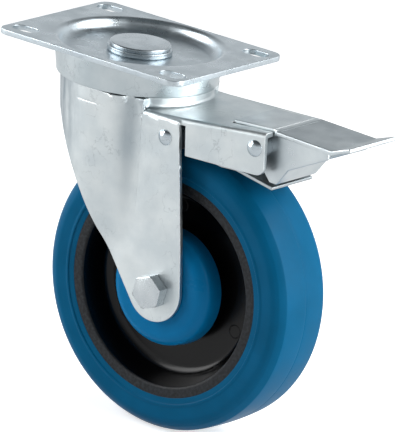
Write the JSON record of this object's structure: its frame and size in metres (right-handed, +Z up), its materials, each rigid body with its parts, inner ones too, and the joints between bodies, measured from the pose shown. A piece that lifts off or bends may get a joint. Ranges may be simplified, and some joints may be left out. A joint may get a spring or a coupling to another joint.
{
  "type": "swivel castor",
  "caption": "Swivel castor with a slotted top plate, double ball race head, pressed fork with a total-lock brake pedal, and a blue elastic tyre on a black rim.",
  "frame": {"origin": "centre of the mounting plate's top face, on the swivel axis", "axes": "+Z up along the swivel axis, +X towards the brake pedal and the trailing wheel, +Y along the axle towards the lock nut"},
  "size_m": [0.2469, 0.11, 0.2285],
  "materials": {
    "zinc_sheet": "bright zinc plated pressed sheet, mottled and softly reflective",
    "zinc_turned": "zinc plated turned and headed steel",
    "race_steel": "hardened and greased steel",
    "ball_steel": "polished bearing steel",
    "blue_rubber": "blue elastic solid rubber, satin",
    "black_nylon": "black glossy polyamide",
    "blue_plastic": "blue moulded plastic, satin"
  },
  "bodies": {
    "head": {"mounting_plate": "zinc_sheet", "dust_shroud": "zinc_sheet", "kingpin": "zinc_turned", "upper_race": "race_steel", "lower_race": "race_steel", "lock_ring": "race_steel"},
    "fork": {"fork": "zinc_sheet", "brake_pin": "zinc_turned", "brake_sleeve": "zinc_turned", "pedal_pin": "zinc_turned", "pedal_sleeve": "zinc_turned", "inner_rings": "ball_steel", "axle_tube": "zinc_turned", "axle_bolt": "zinc_turned", "axle_washer": "zinc_turned", "axle_nut": "zinc_turned"},
    "wheel": {"tyre": "blue_rubber", "rim": "black_nylon", "hub_caps": "blue_plastic", "outer_rings": "ball_steel", "bearing_shields": "zinc_turned"},
    "upper_balls": {"upper_balls": "ball_steel"},
    "lower_balls": {"lower_balls": "ball_steel"},
    "bearing_balls": {"bearing_balls": "ball_steel"},
    "pedal": {"pedal": "zinc_sheet"},
    "brake_lever": {"brake_lever": "zinc_sheet"}
  },
  "joints": [
    {"name": "swivel", "type": "hinge", "parent": "head", "child": "fork", "pos_m": [0, 0, 0], "axis": [0, 0, 1], "continuous": true},
    {"name": "wheel_spin", "type": "hinge", "parent": "fork", "child": "wheel", "pos_m": [0.0538, 0, -0.1385], "axis": [0, 1, 0], "continuous": true},
    {"name": "pedal_press", "type": "hinge", "parent": "fork", "child": "pedal", "pos_m": [0.1137, 0, -0.0331], "axis": [0, 1, 0], "range_deg": [0, 25]},
    {"name": "lever_rock", "type": "hinge", "parent": "fork", "child": "brake_lever", "pos_m": [0.0526, 0, -0.0412], "axis": [0, 1, 0], "range_deg": [0, 2.36]},
    {"name": "upper_ball_roll", "type": "hinge", "parent": "head", "child": "upper_balls", "pos_m": [0, 0, 0], "axis": [0, 0, 1], "continuous": true},
    {"name": "lower_ball_roll", "type": "hinge", "parent": "head", "child": "lower_balls", "pos_m": [0, 0, 0], "axis": [0, 0, 1], "continuous": true},
    {"name": "bearing_ball_roll", "type": "hinge", "parent": "fork", "child": "bearing_balls", "pos_m": [0.0538, 0, -0.1385], "axis": [0, 1, 0], "continuous": true}
  ],
  "couplings": [
    {"joint": "lever_rock", "follows": "pedal_press", "ratio": 0.094},
    {"joint": "upper_ball_roll", "follows": "swivel", "ratio": 0.5},
    {"joint": "lower_ball_roll", "follows": "swivel", "ratio": 0.5},
    {"joint": "bearing_ball_roll", "follows": "wheel_spin", "ratio": 0.616}
  ]
}
